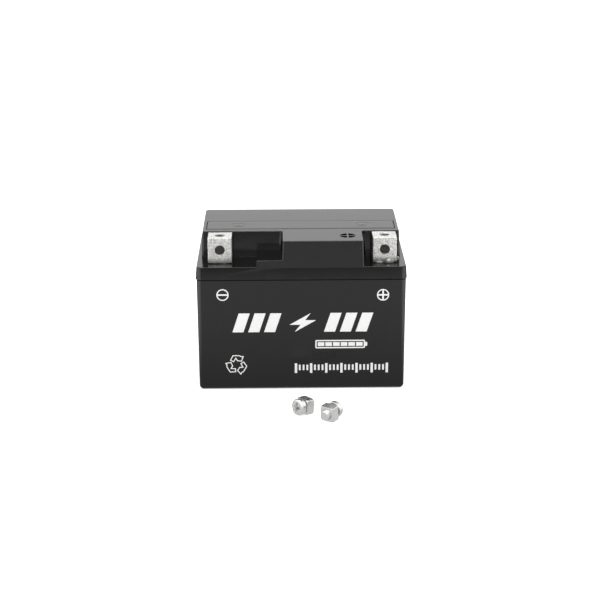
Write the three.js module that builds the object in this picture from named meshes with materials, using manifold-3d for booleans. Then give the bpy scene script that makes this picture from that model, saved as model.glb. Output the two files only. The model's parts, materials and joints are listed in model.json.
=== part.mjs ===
// Sealed six-cell motorcycle battery with its loose terminal screws and nuts.
// Millimetres, +Z up, front face towards -Y, origin at the centre of the base.

import * as THREE from "three";
import { mergeVertices } from "three/addons/utils/BufferGeometryUtils.js";
import Module from "manifold-3d";

const wasm = await Module();
wasm.setup();

// Overall sizes
const length = 114; // along X, over the lid's rim
const depth = 71; // along Y, over the lid's rim
const height = 85; // base to the top of the raised lid
const clearance = 0.3; // between pieces that meet
const overlap = 1; // how far a cut or a joined shape runs past the face that it meets
const roundSides = 24; // facets round a full circle
const smallSides = 16; // the same, on bores and links
const arcSteps = 4; // facets round a quarter circle in an outline

// Container
const wall = 2.6;
const floorThickness = 3;
const partition = 1.6;
const cellCount = 6;
const cellCornerRadius = 1;
const containerInset = 0.25; // the container's side stands this far inside the lid's rim
const containerDraft = 0.35; // narrowing of each side from the rim down to the base
const cornerRadius = 3;
const baseEdgeRadius = 2.5;
const lipHeight = 3.9; // upstand that the lid's rim fits over
const lipInset = 1.5; // outer face of the upstand, in from the lid's outer face

// Lid
const raisedHeight = 14.6; // raised body above the deck
const rimHeight = 7;
const deckThickness = 3.1;
const rimThickness = 1.2;
const rimEdge = 0.8;
const raisedDraft = 0.65; // narrowing of each raised wall, deck to top
const raisedSideInset = 2.6; // foot of the raised body, in from the rim's side
const raisedRearInset = 3.4;
const raisedWall = 2.2;
const raisedCornerRadius = 2.2;
const raisedEdge = 0.5;
const bayDepth = 20.35; // rim's front face back to the foot of the bays' rear wall
const blockInset = 0.5; // front block's foot, in from the rim's front face
const leftBay = 26.8; // negative lug to the front block's left wall
const rightBay = 4.8; // front block's right wall to the positive lug
const blockCornerRadius = 0.8;
const ledgeWidth = 13.5; // low step in the left bay, beside the block
const ledgeHeight = 3.6;

// Cover strip, the trough under it and the relief valves in the trough
const stripWidth = 16.1;
const stripThickness = 2.3;
const stripCornerRadius = 0.9;
const stripFrontOffset = 4.65; // bays' rear wall, at its foot, back to the strip's front edge
const stripEndSeat = 1.2; // width of the seat that the strip lies on, at its ends and sides
const stripSideSeat = 2;
const troughDepth = 10.9; // top of the lid down to the trough's floor
const troughFloor = 1.8;
const markDiameter = 7.6; // two shallow round marks on the strip
const markSpacing = 68.2;
const markDepth = 0.3;
const ventOuter = 6.4;
const ventBore = 3;
const ventHeight = 5.2;
const capWall = 1.1;
const capTop = 1.3;
const capEdge = 0.5;
const pegDiameter = 3;

// Terminals
const lugWidth = 13; // along X
const lugDepth = 12.4; // along Y
const lugHeight = 14;
const lugWall = 2.2;
const lugRearWall = 1.4;
const lugBase = 1.8;
const lugEdgeRadius = 1.3;
const lugHoleDiameter = 5.4;
const lugHoleDrop = 6.8; // top of the lug down to the front hole's centre
const lugWallGap = 0.45; // lug's rear face to the foot of the bay's rear wall
const negativeShift = 1.6; // lug's middle, inwards from its end cell's middle
const positiveShift = 0.3;
const postDiameter = 8;
const sealDiameter = 11.6;

// Plate packs
const plateMargin = 2.8; // plate edge to the container's inner wall, along Y
const plateFoot = 2; // plate's lower edge above the container's floor
const positiveThickness = 2.3;
const negativeThickness = 1.9;
const positivePlates = 2;
const separatorThickness = 0.7;
const separatorRise = 1.5; // separator's top edge above the plates
const strapHeight = 6;
const strapDepth = 10;
const strapRise = 3.5; // strap's underside above the plates
const strapEndGap = 0.5; // strap's end to the partition
const headroom = 3.8; // straps' tops to the underside of the lid's deck
const plateLugDepth = 7;
const linkDiameter = 4.4;

// Loose terminal screws and square nuts, lying in front of the battery
const nutWidth = 8;
const nutThickness = 5;
const nutEdge = 0.6;
const screwHeadDiameter = 8.8;
const screwHeadHeight = 3.3;
const screwHeadEdge = 1.1;
const screwDiameter = 4.4;
const screwLength = 8;
const screwTipChamfer = 0.5;
const crossWidth = 1.5;
const crossSpan = 4.8;
const crossDepth = 1.9;
const hardware = [
  { side: "left", x: 1.6, ahead: 33.1, turn: 221, gap: 0.6 },
  { side: "right", x: 13.9, ahead: 43.7, turn: 53, gap: 1.1 },
];

// Levels and places that follow from the sizes
const deckZ = height - raisedHeight;
const rimBottomZ = deckZ - rimHeight;
const deckUnderZ = deckZ - deckThickness;
const containerTopZ = rimBottomZ - clearance;
const lipTopZ = Math.min(containerTopZ + lipHeight, deckUnderZ - clearance);
const innerHalfLength = length / 2 - containerInset - containerDraft - wall;
const innerHalfDepth = depth / 2 - containerInset - containerDraft - wall;
const cellWidth = (2 * innerHalfLength - (cellCount - 1) * partition) / cellCount;
const cellPitch = cellWidth + partition;
const cellX = (index) => (index - (cellCount - 1) / 2) * cellPitch;

const bayRearY = -depth / 2 + bayDepth;
const stripFrontY = bayRearY + stripFrontOffset;
const stripRearY = stripFrontY + stripWidth;
const stripMidY = (stripFrontY + stripRearY) / 2;
const stripUnderZ = height - stripThickness;
const troughFloorZ = height - troughDepth;

const capRadius = ventOuter / 2 + clearance + capWall;
const capRoofZ = troughFloorZ + ventHeight + clearance;
const capTopZ = capRoofZ + capTop;
const troughX = cellX(cellCount - 1) + capRadius + clearance;
const stripX = troughX + stripEndSeat;

const negativeX = cellX(0) + negativeShift;
const positiveX = cellX(cellCount - 1) - positiveShift;
const blockX = [negativeX + lugWidth / 2 + leftBay, positiveX - lugWidth / 2 - rightBay];
const lugRearY = bayRearY - lugWallGap;
const lugMidY = lugRearY - lugDepth / 2;
const lugFootZ = deckZ + clearance;

const strapTopZ = deckUnderZ - headroom;
const strapUnderZ = strapTopZ - strapHeight;
const plateTopZ = strapUnderZ - strapRise;
const plateFootZ = floorThickness + plateFoot;

// Solids: three.js geometry in and out, joined and cut as manifolds

function solidOf(geometry) {
  const plain = geometry.clone();
  plain.deleteAttribute("normal");
  plain.deleteAttribute("uv");
  const merged = mergeVertices(plain, 1e-4);
  const mesh = new wasm.Mesh({
    numProp: 3,
    vertProperties: Float32Array.from(merged.attributes.position.array),
    triVerts: Uint32Array.from(merged.index.array),
  });
  return new wasm.Manifold(mesh);
}

function geometryOf(solid) {
  const mesh = solid.getMesh();
  const geometry = new THREE.BufferGeometry();
  geometry.setAttribute("position", new THREE.BufferAttribute(mesh.vertProperties, 3));
  geometry.setIndex(new THREE.BufferAttribute(mesh.triVerts, 1));
  geometry.computeVertexNormals();
  return geometry;
}

function join(geometries) {
  const solids = geometries.map(solidOf);
  return geometryOf(solids.reduce((whole, solid) => whole.add(solid)));
}

function cut(geometry, tools) {
  const solid = tools.map(solidOf).reduce((whole, tool) => whole.subtract(tool), solidOf(geometry));
  return geometryOf(solid);
}

// Shapes

function block(x, y, z) {
  const box = new THREE.BoxGeometry(x[1] - x[0], y[1] - y[0], z[1] - z[0]);
  return box.translate((x[0] + x[1]) / 2, (y[0] + y[1]) / 2, (z[0] + z[1]) / 2);
}

function roundedOutline(x, y, radius) {
  const outline = new THREE.Shape();
  outline.absarc(x[1] - radius, y[1] - radius, radius, 0, Math.PI / 2, false);
  outline.absarc(x[0] + radius, y[1] - radius, radius, Math.PI / 2, Math.PI, false);
  outline.absarc(x[0] + radius, y[0] + radius, radius, Math.PI, 1.5 * Math.PI, false);
  outline.absarc(x[1] - radius, y[0] + radius, radius, 1.5 * Math.PI, 2 * Math.PI, false);
  return outline;
}

// An upright prism with round vertical corners; edge rounds its top and bottom edges.
function roundedPrism(x, y, z, radius, edge = 0, edgeSegments = 3) {
  const inner = roundedOutline([x[0] + edge, x[1] - edge], [y[0] + edge, y[1] - edge], radius - edge / 2);
  const prism = new THREE.ExtrudeGeometry(inner, {
    depth: z[1] - z[0] - 2 * edge,
    bevelEnabled: edge > 0,
    bevelSize: edge,
    bevelThickness: edge,
    bevelSegments: edgeSegments,
    curveSegments: arcSteps,
  });
  return prism.translate(0, 0, z[0] + edge);
}

// Moves each side towards the prism's middle, by amount at the level far and by nothing at near.
function drafted(geometry, near, far, amount) {
  geometry.computeBoundingBox();
  const middle = geometry.boundingBox.getCenter(new THREE.Vector3());
  const position = geometry.attributes.position;
  for (let i = 0; i < position.count; i += 1) {
    const inset = (amount * (position.getZ(i) - near)) / (far - near);
    const dx = position.getX(i) - middle.x;
    const dy = position.getY(i) - middle.y;
    position.setX(i, position.getX(i) - Math.sign(dx) * inset);
    position.setY(i, position.getY(i) - Math.sign(dy) * inset);
  }
  return geometry;
}

function upright(diameter, x, y, z, sides = roundSides) {
  const cylinder = new THREE.CylinderGeometry(diameter / 2, diameter / 2, z[1] - z[0], sides);
  return cylinder.rotateX(Math.PI / 2).translate(x, y, (z[0] + z[1]) / 2);
}

// A turned shape about an upright axis, from [radius, level] points that start and end on the axis.
function turned(points, sides = roundSides) {
  const profile = points.map(([radius, level]) => new THREE.Vector2(radius, level));
  return new THREE.LatheGeometry(profile, sides).rotateX(Math.PI / 2);
}

function tube(outer, inner, z) {
  const profile = [
    [inner / 2, z[0]],
    [outer / 2, z[0]],
    [outer / 2, z[1]],
    [inner / 2, z[1]],
    [inner / 2, z[0]],
  ];
  return turned(profile);
}

// Container: tapered box with six cells, and an upstand inside the lid's rim

function containerGeometry() {
  const halfLength = length / 2 - containerInset;
  const halfDepth = depth / 2 - containerInset;
  const aboveTop = containerTopZ + baseEdgeRadius + overlap;
  const outer = roundedPrism(
    [-halfLength, halfLength],
    [-halfDepth, halfDepth],
    [0, aboveTop],
    cornerRadius,
    baseEdgeRadius,
    4,
  );
  drafted(outer, containerTopZ, 0, containerDraft);
  const box = cut(outer, [
    block([-length, length], [-depth, depth], [containerTopZ, aboveTop + overlap]),
  ]);
  const lipX = length / 2 - lipInset;
  const lipY = depth / 2 - lipInset;
  const lip = roundedPrism(
    [-lipX, lipX],
    [-lipY, lipY],
    [containerTopZ - overlap, lipTopZ],
    cornerRadius - rimThickness,
  );
  const cavities = [];
  for (let i = 0; i < cellCount; i += 1) {
    cavities.push(
      roundedPrism(
        [cellX(i) - cellWidth / 2, cellX(i) + cellWidth / 2],
        [-innerHalfDepth, innerHalfDepth],
        [floorThickness, lipTopZ + overlap],
        cellCornerRadius,
      ),
    );
  }
  const throughSpan = partition + 2 * overlap;
  const linkHoles = links().map((link) => linkCylinder(link, linkDiameter + 2 * clearance, throughSpan));
  return cut(join([box, lip]), [...cavities, ...linkHoles]);
}

// Lid: rim and deck, raised body, front block, ledge, trough with six vents, terminal bays

function lidGeometry() {
  const halfLength = length / 2;
  const halfDepth = depth / 2;
  const rim = cut(
    roundedPrism(
      [-halfLength, halfLength],
      [-halfDepth, halfDepth],
      [rimBottomZ - 2 * rimEdge, deckZ],
      cornerRadius,
      rimEdge,
    ),
    [block([-length, length], [-depth, depth], [rimBottomZ - 3 * rimEdge, rimBottomZ])],
  );
  const raisedX = halfLength - raisedSideInset;
  const raisedRearY = halfDepth - raisedRearInset;
  const foot = deckZ - overlap;
  const raised = drafted(
    roundedPrism(
      [-raisedX, raisedX],
      [bayRearY, raisedRearY],
      [foot, height],
      raisedCornerRadius,
      raisedEdge,
      2,
    ),
    deckZ,
    height,
    raisedDraft,
  );
  const frontBlock = drafted(
    roundedPrism(
      blockX,
      [-halfDepth + blockInset, bayRearY + 2 * raisedWall],
      [foot, height],
      blockCornerRadius,
      raisedEdge,
      2,
    ),
    deckZ,
    height,
    raisedDraft,
  );
  const ledge = block(
    [blockX[0] - ledgeWidth, blockX[0] + overlap],
    [-halfDepth + blockInset, bayRearY + overlap],
    [foot, deckZ + ledgeHeight],
  );
  const body = cut(join([rim, raised, frontBlock, ledge]), [
    ...lidHollows(raisedRearY),
    ...lidRecesses(),
    rimPocket(),
    ...terminalXs().map((x) =>
      upright(sealDiameter + 2 * clearance, x, lugMidY, [deckUnderZ - overlap, deckZ + overlap]),
    ),
  ]);
  const vents = cells().map((x) =>
    upright(ventOuter, x, stripMidY, [troughFloorZ - overlap, troughFloorZ + ventHeight]),
  );
  const bores = cells().map((x) =>
    upright(ventBore, x, stripMidY, [troughFloorZ - troughFloor - overlap, height], smallSides),
  );
  return cut(join([body, ...vents]), bores);
}

// The socket under the lid's rim, which the container's upstand fits into.
function rimPocket() {
  const x = length / 2 - rimThickness;
  const y = depth / 2 - rimThickness;
  const radius = cornerRadius - rimThickness / 2;
  return roundedPrism([-x, x], [-y, y], [rimBottomZ - overlap, deckUnderZ], radius);
}

// Hollows over each cell, inside the raised body and the front block.
function lidHollows(raisedRearY) {
  const hollows = [];
  const top = height - raisedDraft - raisedWall;
  const low = deckUnderZ - overlap;
  const frontY = bayRearY + raisedWall + raisedDraft;
  const rearY = raisedRearY - raisedWall - raisedDraft;
  const blockInner = [blockX[0] + raisedWall + raisedDraft, blockX[1] - raisedWall - raisedDraft];
  const blockFrontY = -depth / 2 + blockInset + raisedWall + raisedDraft;
  for (const x of cells()) {
    const sides = [x - cellWidth / 2, x + cellWidth / 2];
    const edge = length / 2 - raisedSideInset - raisedWall - raisedDraft;
    const inRaised = [Math.max(sides[0], -edge), Math.min(sides[1], edge)];
    hollows.push(block(inRaised, [frontY, rearY], [low, troughFloorZ - troughFloor]));
    hollows.push(block(inRaised, [stripRearY, rearY], [low, top]));
    const inBlock = [Math.max(sides[0], blockInner[0]), Math.min(sides[1], blockInner[1])];
    if (inBlock[1] - inBlock[0] > raisedWall) {
      hollows.push(block(inBlock, [blockFrontY, frontY + overlap], [low, troughFloorZ - troughFloor]));
      hollows.push(block(inBlock, [blockFrontY, frontY], [low, top]));
    }
  }
  return hollows;
}

// The strip's seat in the top face, and the deeper trough under it.
function lidRecesses() {
  const seatX = stripX + clearance;
  const seat = roundedPrism(
    [-seatX, seatX],
    [stripFrontY - clearance, stripRearY + clearance],
    [stripUnderZ - clearance, height + overlap],
    stripCornerRadius,
  );
  const trough = block(
    [-troughX, troughX],
    [stripFrontY + stripSideSeat, stripRearY - stripSideSeat],
    [troughFloorZ, stripUnderZ],
  );
  return [seat, trough];
}

// Cover strip, with a peg over each valve cap that keeps it from blowing off

function stripGeometry() {
  const plate = roundedPrism(
    [-stripX, stripX],
    [stripFrontY, stripRearY],
    [stripUnderZ, height],
    stripCornerRadius,
  );
  const pegs = cells().map((x) =>
    upright(pegDiameter, x, stripMidY, [capTopZ + clearance, stripUnderZ + overlap], smallSides),
  );
  const marks = [-1, 1].map((side) =>
    upright(markDiameter, (side * markSpacing) / 2, stripMidY, [height - markDepth, height + overlap]),
  );
  return cut(join([plate, ...pegs]), marks);
}

// Relief valve: a soft cap over the vent, which lifts when gas pushes under its skirt.
function valveCapGeometry() {
  const inner = capRadius - capWall;
  const foot = troughFloorZ + clearance;
  return turned([
    [0, capRoofZ],
    [inner, capRoofZ],
    [inner, foot],
    [capRadius, foot],
    [capRadius, capTopZ - capEdge],
    [capRadius - capEdge, capTopZ],
    [0, capTopZ],
  ]);
}

// Terminal lug: a square loop of lead along X, which holds a nut, with a hole in its front and top

function lugGeometry() {
  const outline = roundedOutline([-lugDepth / 2, lugDepth / 2], [0, lugHeight], lugEdgeRadius);
  const slot = roundedOutline(
    [-lugDepth / 2 + lugWall, lugDepth / 2 - lugRearWall],
    [lugBase, lugHeight - lugWall],
    lugEdgeRadius / 2,
  );
  outline.holes.push(slot);
  const loop = new THREE.ExtrudeGeometry(outline, {
    depth: lugWidth,
    bevelEnabled: false,
    curveSegments: arcSteps,
  });
  const alongX = new THREE.Matrix4().makeBasis(
    new THREE.Vector3(0, 1, 0),
    new THREE.Vector3(0, 0, 1),
    new THREE.Vector3(1, 0, 0),
  );
  loop.applyMatrix4(alongX).translate(-lugWidth / 2, 0, 0);
  const topHole = upright(lugHoleDiameter, 0, 0, [lugHeight - lugWall - overlap, lugHeight + overlap]);
  const frontHole = new THREE.CylinderGeometry(
    lugHoleDiameter / 2,
    lugHoleDiameter / 2,
    lugWall + 2 * overlap,
    roundSides,
  ).translate(0, -lugDepth / 2 + lugWall / 2, lugHeight - lugHoleDrop);
  return cut(loop, [topHole, frontHole]);
}

// Plate packs: in each cell, plates hang from two straps with a folded separator between them

function plateStack() {
  const stack = [];
  const count = 2 * positivePlates + 1;
  const gap = separatorThickness + 2 * clearance;
  const plates = positivePlates * positiveThickness + (positivePlates + 1) * negativeThickness;
  let x = -(plates + (count - 1) * gap) / 2;
  for (let i = 0; i < count; i += 1) {
    const positive = i % 2 === 1;
    const thickness = positive ? positiveThickness : negativeThickness;
    stack.push({ positive, x: [x, x + thickness] });
    x += thickness + gap;
  }
  return stack;
}

function plateGeometry(positive, end) {
  const plateY = innerHalfDepth - plateMargin;
  const pieces = plateStack()
    .filter((plate) => plate.positive === positive)
    .flatMap((plate) => [
      block(plate.x, [-plateY, plateY], [plateFootZ, plateTopZ]),
      block(plate.x, lugSpan(end, plateLugDepth), [plateTopZ - overlap, strapUnderZ + overlap]),
    ]);
  const strapX = cellWidth / 2 - strapEndGap;
  pieces.push(block([-strapX, strapX], lugSpan(end, strapDepth), [strapUnderZ, strapTopZ]));
  return join(pieces);
}

function lugSpan(end, width) {
  const y = -end * lugMidY;
  return [y - width / 2, y + width / 2];
}

function separatorGeometry() {
  const stack = plateStack();
  const foldY = innerHalfDepth - plateMargin + clearance;
  const level = [floorThickness + clearance, plateTopZ + separatorRise];
  const layers = stack.slice(0, -1).map((plate) => {
    const x = plate.x[1] + clearance;
    return [x, x + separatorThickness];
  });
  const pieces = layers.map((x) => block(x, [-foldY, foldY], level));
  for (let i = 0; i + 1 < layers.length; i += 1) {
    const end = i % 2 === 0 ? 1 : -1;
    const x = [layers[i][0], layers[i + 1][1]];
    const y = [end * foldY, end * (foldY + separatorThickness)].sort((a, b) => a - b);
    pieces.push(block(x, y, level));
  }
  return join(pieces);
}

// Intercell links: each passes through a partition, at the ends where the cells' straps meet

function cells() {
  return Array.from({ length: cellCount }, (_, i) => cellX(i));
}

// The end at which a cell's positive strap stands: 1 for the rear, -1 for the front.
function positiveEnd(index) {
  return index % 2 === 0 ? 1 : -1;
}

function links() {
  return Array.from({ length: cellCount - 1 }, (_, i) => ({
    x: (cellX(i) + cellX(i + 1)) / 2,
    y: -positiveEnd(i) * lugMidY,
  }));
}

function linkCylinder(link, diameter, span) {
  const cylinder = new THREE.CylinderGeometry(diameter / 2, diameter / 2, span, smallSides);
  return cylinder.rotateZ(Math.PI / 2).translate(link.x, link.y, (strapUnderZ + strapTopZ) / 2);
}

function terminalXs() {
  return [negativeX, positiveX];
}

// Square nut and cross-head screw, with their axis along X and the nut's middle at the origin

function nutGeometry() {
  const half = nutWidth / 2;
  const body = roundedPrism([-half, half], [-half, half], [-nutThickness / 2, nutThickness / 2], nutEdge);
  const hole = upright(screwDiameter + 2 * clearance, 0, 0, [-nutThickness, nutThickness]);
  return cut(body, [hole]).rotateY(Math.PI / 2);
}

function screwGeometry(gap) {
  const base = nutThickness / 2 + gap;
  const top = base + screwHeadHeight;
  const headRadius = screwHeadDiameter / 2;
  const body = turned([
    [0, base - screwLength],
    [screwDiameter / 2 - screwTipChamfer, base - screwLength],
    [screwDiameter / 2, base - screwLength + screwTipChamfer],
    [screwDiameter / 2, base],
    [headRadius, base],
    [headRadius, top - 2 * screwHeadEdge],
    [headRadius - screwHeadEdge / 2, top - screwHeadEdge / 2],
    [headRadius - 1.5 * screwHeadEdge, top],
    [0, top],
  ]);
  const level = [top - crossDepth, top + overlap];
  const cross = join([
    block([-crossSpan / 2, crossSpan / 2], [-crossWidth / 2, crossWidth / 2], level),
    block([-crossWidth / 2, crossWidth / 2], [-crossSpan / 2, crossSpan / 2], level),
  ]);
  return cut(body, [cross]).rotateY(Math.PI / 2);
}

// Materials

function finish(color, roughness, metalness) {
  return new THREE.MeshStandardMaterial({ color, roughness, metalness });
}

const blackPlastic = finish(0x1a1b1d, 0.28, 0);
const lidPlastic = finish(0x18191a, 0.22, 0);
const blackRubber = finish(0x202022, 0.8, 0);
const castLead = finish(0xb9b9b6, 0.5, 0.85);
const sealResin = finish(0x5a2522, 0.35, 0);
const zincSteel = finish(0xd6d8da, 0.3, 0.95);
const leadDioxide = finish(0x4a2f26, 0.85, 0);
const spongeLead = finish(0x7d8084, 0.75, 0.3);
const glassMat = finish(0xe8e6dd, 0.95, 0);

// Assembly

const battery = new THREE.Group();

function place(name, geometry, material, position = [0, 0, 0], parent = battery) {
  const mesh = new THREE.Mesh(geometry, material);
  mesh.name = name;
  mesh.position.set(...position);
  parent.add(mesh);
  return mesh;
}

place("container", containerGeometry(), blackPlastic);
place("lid", lidGeometry(), lidPlastic);
place("cap_strip", stripGeometry(), lidPlastic);

cells().forEach((x, index) => {
  const cell = `cell_${index + 1}`;
  const end = positiveEnd(index);
  place(`valve_cap_${index + 1}`, valveCapGeometry(), blackRubber, [x, stripMidY, 0]);
  place(`${cell}_positive_plates`, plateGeometry(true, end), leadDioxide, [x, 0, 0]);
  place(`${cell}_negative_plates`, plateGeometry(false, -end), spongeLead, [x, 0, 0]);
  place(`${cell}_separator`, separatorGeometry(), glassMat, [x, 0, 0]);
});

links().forEach((link, index) => {
  const span = partition + 2 * (strapEndGap - clearance);
  place(`intercell_link_${index + 1}`, linkCylinder(link, linkDiameter, span), castLead);
});

[
  { pole: "negative", x: negativeX },
  { pole: "positive", x: positiveX },
].forEach(({ pole, x }) => {
  const postLevel = [strapTopZ + clearance, lugFootZ - clearance];
  const seal = tube(sealDiameter, postDiameter + 2 * clearance, [deckUnderZ, deckZ]);
  place(`terminal_${pole}`, lugGeometry(), castLead, [x, lugMidY, lugFootZ]);
  place(`post_${pole}`, upright(postDiameter, 0, 0, postLevel), castLead, [x, lugMidY, 0]);
  place(`post_seal_${pole}`, seal, sealResin, [x, lugMidY, 0]);
});

// Each nut stands on its far lower edge and each screw on the rim of its head.
for (const { side, x, ahead, turn, gap } of hardware) {
  const rise = screwHeadDiameter / 2 - nutWidth / 2;
  const tilt = Math.atan2(rise, nutThickness + gap);
  const middle = (nutWidth / 2) * Math.cos(tilt) + (nutThickness / 2) * Math.sin(tilt);
  const heading = new THREE.Group();
  heading.position.set(x, -depth / 2 - ahead, middle);
  heading.rotation.z = THREE.MathUtils.degToRad(turn);
  const leaning = new THREE.Group();
  leaning.rotation.y = -tilt;
  heading.add(leaning);
  battery.add(heading);
  place(`nut_${side}`, nutGeometry(), zincSteel, [0, 0, 0], leaning);
  place(`screw_${side}`, screwGeometry(gap), zincSteel, [0, 0, 0], leaning);
}

export default battery;
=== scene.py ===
import json
import math

import bmesh
import bpy
from mathutils import Matrix, Vector, noise


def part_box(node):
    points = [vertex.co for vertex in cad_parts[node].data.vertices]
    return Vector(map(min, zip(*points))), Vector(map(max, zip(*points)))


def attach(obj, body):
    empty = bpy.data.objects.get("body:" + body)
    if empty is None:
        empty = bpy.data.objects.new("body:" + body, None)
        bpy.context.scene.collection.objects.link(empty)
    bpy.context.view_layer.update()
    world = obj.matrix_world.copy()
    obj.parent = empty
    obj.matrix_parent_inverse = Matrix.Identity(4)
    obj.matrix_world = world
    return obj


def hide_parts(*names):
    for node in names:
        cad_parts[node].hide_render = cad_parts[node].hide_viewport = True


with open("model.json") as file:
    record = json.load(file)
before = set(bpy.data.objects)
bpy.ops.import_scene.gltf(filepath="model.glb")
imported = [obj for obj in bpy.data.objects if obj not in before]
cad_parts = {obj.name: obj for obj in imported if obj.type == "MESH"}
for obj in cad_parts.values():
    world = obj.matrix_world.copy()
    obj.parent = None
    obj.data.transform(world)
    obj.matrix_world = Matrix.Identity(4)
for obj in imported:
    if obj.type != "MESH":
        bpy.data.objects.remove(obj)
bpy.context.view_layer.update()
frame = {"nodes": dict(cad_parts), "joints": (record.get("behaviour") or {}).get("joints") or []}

# ---- sizes, in metres

mm = 0.001

lid_low, lid_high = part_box("lid")
container_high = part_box("container")[1]
strip_low, strip_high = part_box("cap_strip")
seal_low, seal_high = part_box("post_seal_negative")
negative_low, negative_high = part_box("terminal_negative")
positive_low, positive_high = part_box("terminal_positive")
cap_low, cap_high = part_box("valve_cap_1")
last_cap_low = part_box("valve_cap_6")[0]

case_x = (lid_low.x, lid_high.x)
case_y = (lid_low.y, lid_high.y)
top_z = lid_high.z
deck_z = seal_high.z
deck_under_z = seal_low.z
cell_count = 6
cell_pitch = (last_cap_low.x - cap_low.x) / (cell_count - 1)
first_cell_x = (cap_low.x + cap_high.x) / 2
valve_y = (cap_low.y + cap_high.y) / 2

arc_steps = 7  # segments round a quarter circle in an outline
edge_steps = 4  # segments round an edge
round_steps = 48  # segments round a full circle
smallest_radius = 0.05 * mm
weld = 1e-7  # points closer than this become one
past = 1 * mm  # how far a cutter reaches past the face that it cuts

# lid
rim_lean = 0.47 * mm
rim_edge = 0.35 * mm
rim_foot_edge = 0.25 * mm
rim_thickness = 1.2 * mm
rim_corner = 3 * mm
raised_side = 2.6 * mm  # foot of the raised body, in from the rim's side
raised_rear = 3.4 * mm
raised_draft = 0.65 * mm
raised_overlap = 0.5 * mm  # how far the raised body reaches into the deck
bay_rear = 20.35 * mm
block_front = 0.45 * mm
block_front_draft = 0.3 * mm
left_bay = 26.8 * mm
right_bay = 4.8 * mm
front_corner = 1.0 * mm
rear_corner = 2.2 * mm
block_corner = 0.8 * mm
bay_corner = 1.8 * mm
top_edge = 0.45 * mm
front_drop = 0.2 * mm  # the block's top is a little lower than the cover strip
foot_fillet = 0.03 * mm
ledge_width = 13.5 * mm
ledge_height = 3.6 * mm
ledge_corner = 0.4 * mm
ledge_edge = 0.35 * mm
ledge_overlap = 2 * mm
seal_clearance = 0.3 * mm
lid_wall = 2.2 * mm
hollow_corner = 0.5 * mm
trough_depth = 10.9 * mm
trough_floor = 1.8 * mm
trough_corner = 0.6 * mm
strip_clearance = 0.3 * mm
strip_corner = 0.9 * mm
strip_seat_depth = 2.6 * mm
strip_end_seat = 1.2 * mm
strip_side_seat = 2 * mm
polarity_depth = 0.9 * mm
polarity_size = 8.6 * mm
polarity_bar = 0.9 * mm
polarity_inset = 8.7 * mm  # in from the block's right side
polarity_back = 11.0 * mm  # back from the lid's front

# container
container_inset = 0.45 * mm
container_draft = 0.35 * mm
base_radius = 2.5 * mm
base_steps = 8
floor_thickness = 3 * mm
wall = 2.6 * mm
partition = 1.6 * mm
lip_inset = 1.5 * mm
shoulder_z = lid_low.z - 0.55 * mm
cell_corner = 1 * mm

# cover strip
strip_thickness = 2.3 * mm
strip_edge = 0.55 * mm
mark_diameter = 7.6 * mm
mark_spacing = 68.2 * mm
mark_depth = 0.1 * mm
mark_middle_depth = 0.02 * mm
mark_slope = 0.16 * mm
dimple_diameter = 0.9 * mm
dimple_depth = 0.4 * mm
peg_diameter = 3 * mm
peg_chamfer = 0.4 * mm
peg_tip = 0.7  # the peg's end, as a share of its diameter
peg_steps = 24

# valves
vent_outer = 6.4 * mm
vent_bore = 3 * mm
vent_height = 5.2 * mm
vent_edge = 0.3 * mm
vent_flare = 0.4 * mm
vent_flare_height = 0.5 * mm
vent_gap = 0.02 * mm
vent_steps = 32
cap_wall = 1.1 * mm
cap_roof = 1.3 * mm
cap_edge = 0.5 * mm
cap_inner_edge = 0.3 * mm
cap_lip = 0.2 * mm
cap_waist = 0.25 * mm
cap_skirt_edge = 0.3 * mm
cap_skirt = 0.9 * mm
cap_dish = 0.25 * mm
cap_steps = 40

# terminals
lug_wall = 2.2 * mm
lug_rear_wall = 1.4 * mm
lug_base = 1.8 * mm
lug_edge = 0.45 * mm
lug_end_edge = 0.35 * mm
lug_hole = 5.4 * mm
lug_hole_drop = 6.8 * mm
lug_hole_reach = 4 * mm
lug_hole_steps = 40
lug_voxel = 0.2 * mm
lug_lumps = ((0.35, 0.12 * mm), (1.1, 0.05 * mm), (3.1, 0.02 * mm))  # waves to a millimetre, height
lug_sink = 0.05 * mm
dome_depth = 2 / 2.4  # a dome's depth, as a share of its width
bead_steps = 14
bead_round_steps = 16
bead_length = 5 * mm
bead_rise = 2.6 * mm
bead_radius = (0.15 * mm, 0.9 * mm)  # at its ends and at its middle
bead_fullness = 0.6  # the lower this power, the blunter the ends
bead_height = 1.5  # in widths
bead_start = (0.2 * mm, -0.4 * mm, 0.3 * mm)  # from the lug's side, its front and the deck
bead_wave = 0.5 * mm
bead_bend = 5  # radians of wave along the bead

# loose screws and nuts
nut_width = 8 * mm
nut_thickness = 5 * mm
nut_squareness = 18  # the higher this power, the sharper the corners
nut_countersink = 0.45 * mm
nut_face_edge = 0.18 * mm
nut_cone = 1.2  # radius of the corners' cone at a face, in half widths
nut_cone_slope = 1.9
nut_cone_start = 0.05 * mm
nut_cone_depth = 0.95 * mm
nut_cone_steps = 6
nut_steps = 128
thread_major = 4.9 * mm
thread_minor = 4.1 * mm
thread_pitch = 0.8 * mm
thread_gap = 0.05 * mm
thread_crest = 1.3  # over 1 flattens the crests
thread_steps = 96
tip_taper = 0.9 * mm
tip_start = 0.25
tip_narrowing = 0.5 * mm
screw_length = 8 * mm
screw_steps = 48
head_diameter = 8.8 * mm
head_height = 3.3 * mm
head_edge = 1.1 * mm
head_edge_steps = 6
head_foot_inset = 0.25 * mm
head_foot_edge = 0.2 * mm
cross_width = 1.5 * mm
cross_span = 4.8 * mm
cross_depth = 2.5 * mm
cross_foot = 0.62  # the recess narrows to this share at its foot
cross_mouth = 1.05
cross_over = 0.2 * mm

# floor
floor_radius = 0.56

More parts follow.
